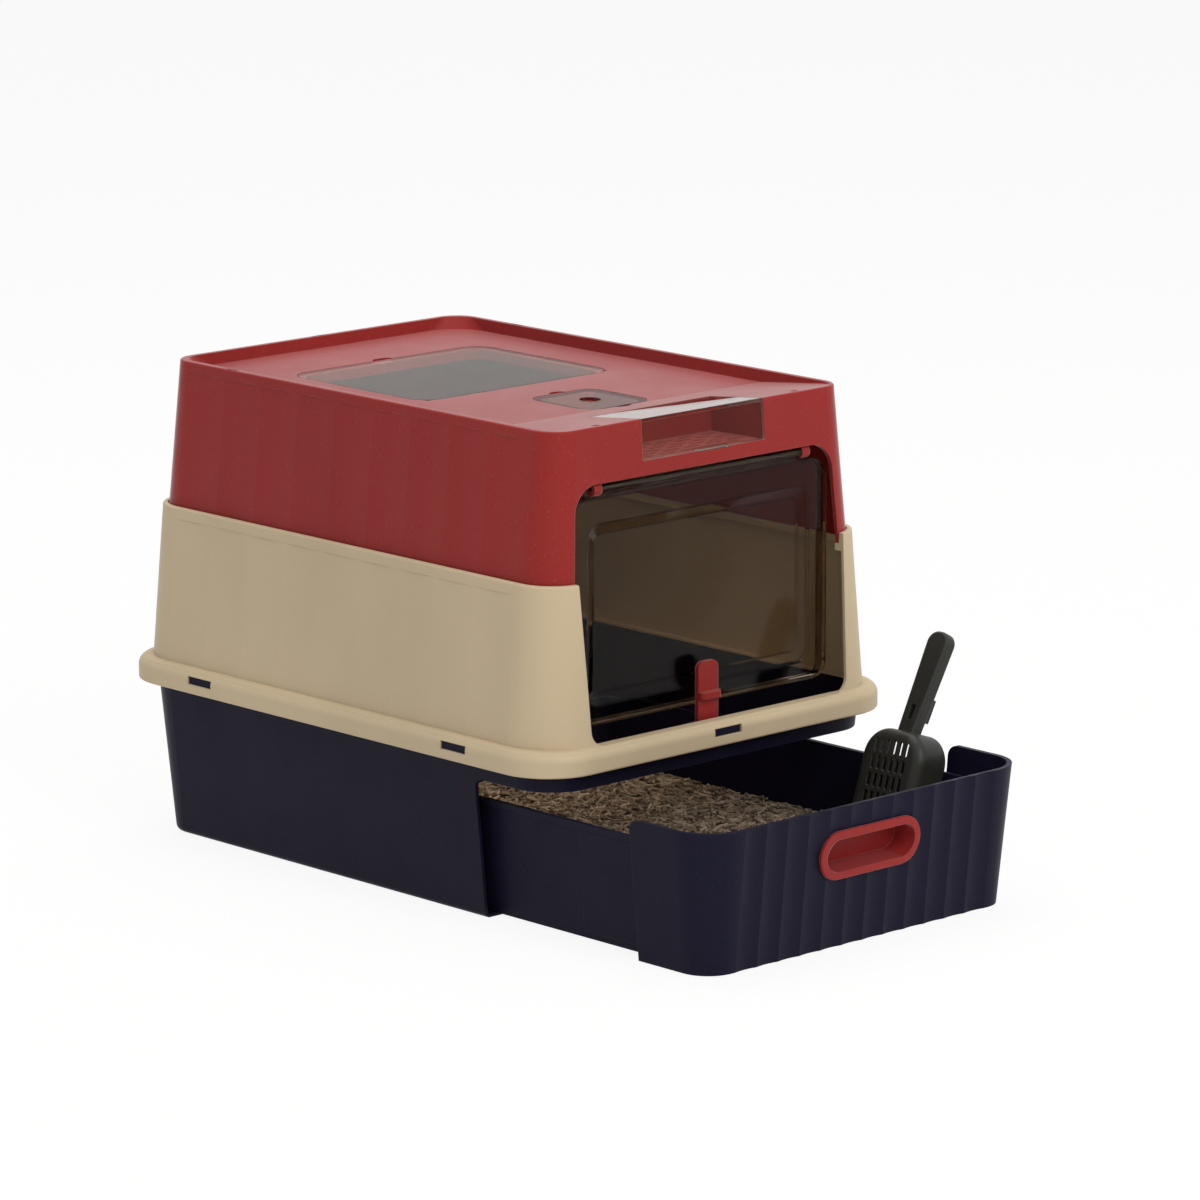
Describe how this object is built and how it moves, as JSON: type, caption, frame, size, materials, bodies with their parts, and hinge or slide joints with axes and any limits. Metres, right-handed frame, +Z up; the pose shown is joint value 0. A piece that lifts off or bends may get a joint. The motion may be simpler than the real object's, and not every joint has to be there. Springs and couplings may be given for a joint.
{
  "type": "litter box",
  "caption": "Enclosed litter box with stacked shells, a swinging clear door flap, a pull-out litter drawer, clear lids in a rimmed deck, and a slotted scoop.",
  "frame": {"origin": "on the floor, under the centre of the base", "axes": "+X to the right of someone facing the front, +Y to the back, +Z up"},
  "size_m": [0.3988, 0.6918, 0.401],
  "materials": {
    "navy_plastic": "satin moulded",
    "cream_plastic": "satin moulded",
    "red_plastic": "satin moulded",
    "smoky_clear": "polished, clear smoky brown",
    "rod_steel": "drawn",
    "litter": "short pressed pellets",
    "scoop_plastic": "satin moulded"
  },
  "bodies": {
    "base": {"base_tub": "navy_plastic", "lower_housing": "cream_plastic"},
    "cover": {"top_cover": "red_plastic", "flap_hinge_rod": "rod_steel", "vent_grille": "red_plastic", "deodoriser_cup": "red_plastic"},
    "flap": {"flap_door": "smoky_clear"},
    "latch": {"door_latch": "red_plastic"},
    "skylight": {"skylight_lid": "smoky_clear"},
    "small_lid": {"deodoriser_lid": "smoky_clear"},
    "hatch": {"vent_hatch": "smoky_clear"},
    "drawer": {"drawer_front": "navy_plastic", "drawer_handle": "red_plastic", "litter_tray": "navy_plastic", "litter_bed": "litter"},
    "scoop": {"scoop": "scoop_plastic"}
  },
  "joints": [
    {"name": "cover_lift", "type": "slide", "parent": "base", "child": "cover", "axis": [0, 0, 1], "range_m": [0, 0.15]},
    {"name": "flap_swing", "type": "hinge", "parent": "cover", "child": "flap", "pos_m": [0, -0.2305, 0.351], "axis": [1, 0, 0], "range_deg": [0, 80]},
    {"name": "latch_slide", "type": "slide", "parent": "base", "child": "latch", "axis": [0, 0, 1], "range_m": [-0.037, 0]},
    {"name": "skylight_hinge", "type": "hinge", "parent": "cover", "child": "skylight", "pos_m": [0, -0.0165, 0.3894], "axis": [1, 0, 0], "range_deg": [0, 100]},
    {"name": "small_lid_lift", "type": "slide", "parent": "cover", "child": "small_lid", "axis": [0, 0, 1], "range_m": [0, 0.06]},
    {"name": "hatch_hinge", "type": "hinge", "parent": "cover", "child": "hatch", "pos_m": [0, -0.177, 0.39334], "axis": [-1, 0, 0], "range_deg": [0, 95]},
    {"name": "drawer_slide", "type": "slide", "parent": "base", "child": "drawer", "axis": [0, -1, 0], "range_m": [-0.176, 0]},
    {"name": "scoop_lift", "type": "slide", "parent": "base", "child": "scoop", "axis": [0, 0, 1], "range_m": [0, 0.36]}
  ],
  "couplings": [
    {"joint": "scoop_lift", "follows": "drawer_slide", "ratio": -2}
  ]
}
